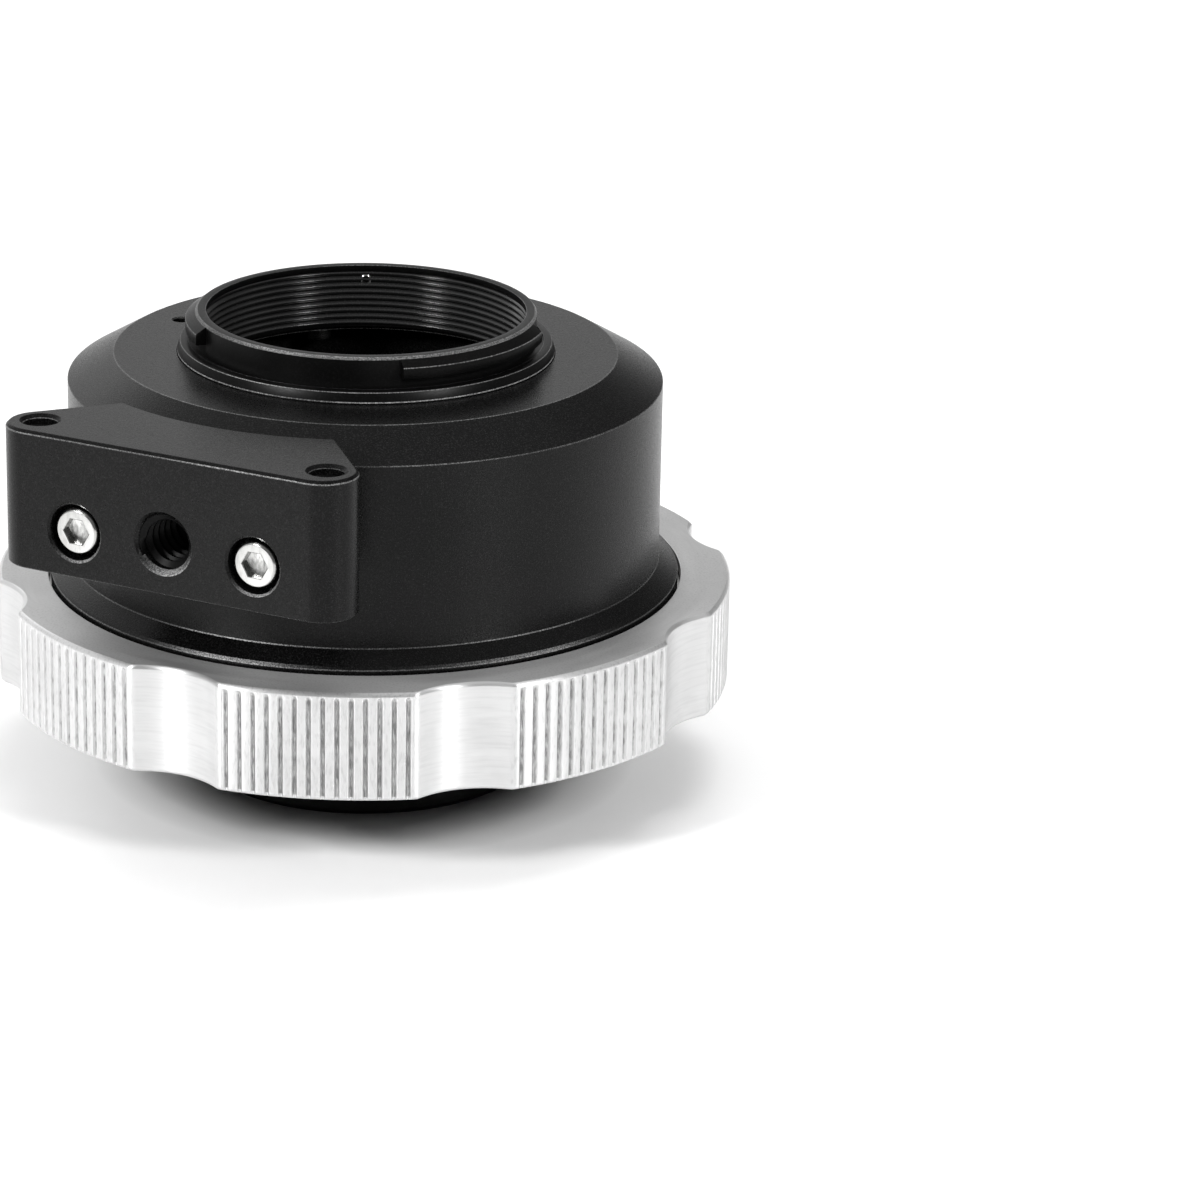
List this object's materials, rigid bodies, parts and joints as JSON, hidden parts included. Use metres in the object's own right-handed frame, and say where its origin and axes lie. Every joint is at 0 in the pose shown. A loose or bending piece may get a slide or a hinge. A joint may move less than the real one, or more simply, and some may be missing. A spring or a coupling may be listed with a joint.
{
  "type": "lens mount adapter",
  "caption": "Lens mount adapter with a scalloped turning lock ring, a black stepped barrel, a clawed camera bayonet and a screwed-on tripod foot, standing on its port cap.",
  "frame": {"origin": "centre of the port cap's closed round face, on which the adapter stands", "axes": "+Z along the optical axis towards the camera side; -Y towards the tripod foot's front face"},
  "size_m": [0.0874, 0.0906, 0.0564],
  "materials": {
    "cap_plastic": "fine matte moulded",
    "ring_metal": "bright satin machined",
    "black_anodised": "black anodised, fine blasted grain",
    "bayonet_black": "black anodised, turned",
    "foot_black": "black anodised, fine blasted grain",
    "seat_steel": "turned and ground",
    "shim_steel": "rolled",
    "spring_steel": "spring temper",
    "pin_steel": "ground",
    "screw_steel": "bright stainless",
    "small_screw_steel": "bright stainless"
  },
  "bodies": {
    "cap": {"port_cap": "cap_plastic"},
    "adapter": {"snap_ring": "spring_steel", "body_barrel": "black_anodised", "lens_seat": "seat_steel", "seat_shim": "shim_steel", "index_pin": "pin_steel", "bayonet_ring": "bayonet_black", "bayonet_turn_pin": "pin_steel", "tripod_foot": "foot_black", "foot_screw_left": "screw_steel", "foot_screw_right": "screw_steel", "bayonet_screw_1": "small_screw_steel", "bayonet_screw_2": "small_screw_steel", "bayonet_screw_3": "small_screw_steel", "bayonet_screw_4": "small_screw_steel", "seat_screw_1": "small_screw_steel", "seat_screw_2": "small_screw_steel", "seat_screw_3": "small_screw_steel", "seat_screw_4": "small_screw_steel", "seat_screw_5": "small_screw_steel", "seat_screw_6": "small_screw_steel", "seat_screw_7": "small_screw_steel", "seat_screw_8": "small_screw_steel"},
    "lock_ring": {"lock_ring": "ring_metal", "turn_stop_pin": "pin_steel"}
  },
  "joints": [
    {"name": "lift_off", "type": "slide", "parent": "cap", "child": "adapter", "axis": [0, 0, 1], "range_m": [0, 0.08]},
    {"name": "lock_turn", "type": "hinge", "parent": "adapter", "child": "lock_ring", "pos_m": [0, 0, 0.0243], "axis": [0, 0, 1], "range_deg": [0, 42]}
  ]
}
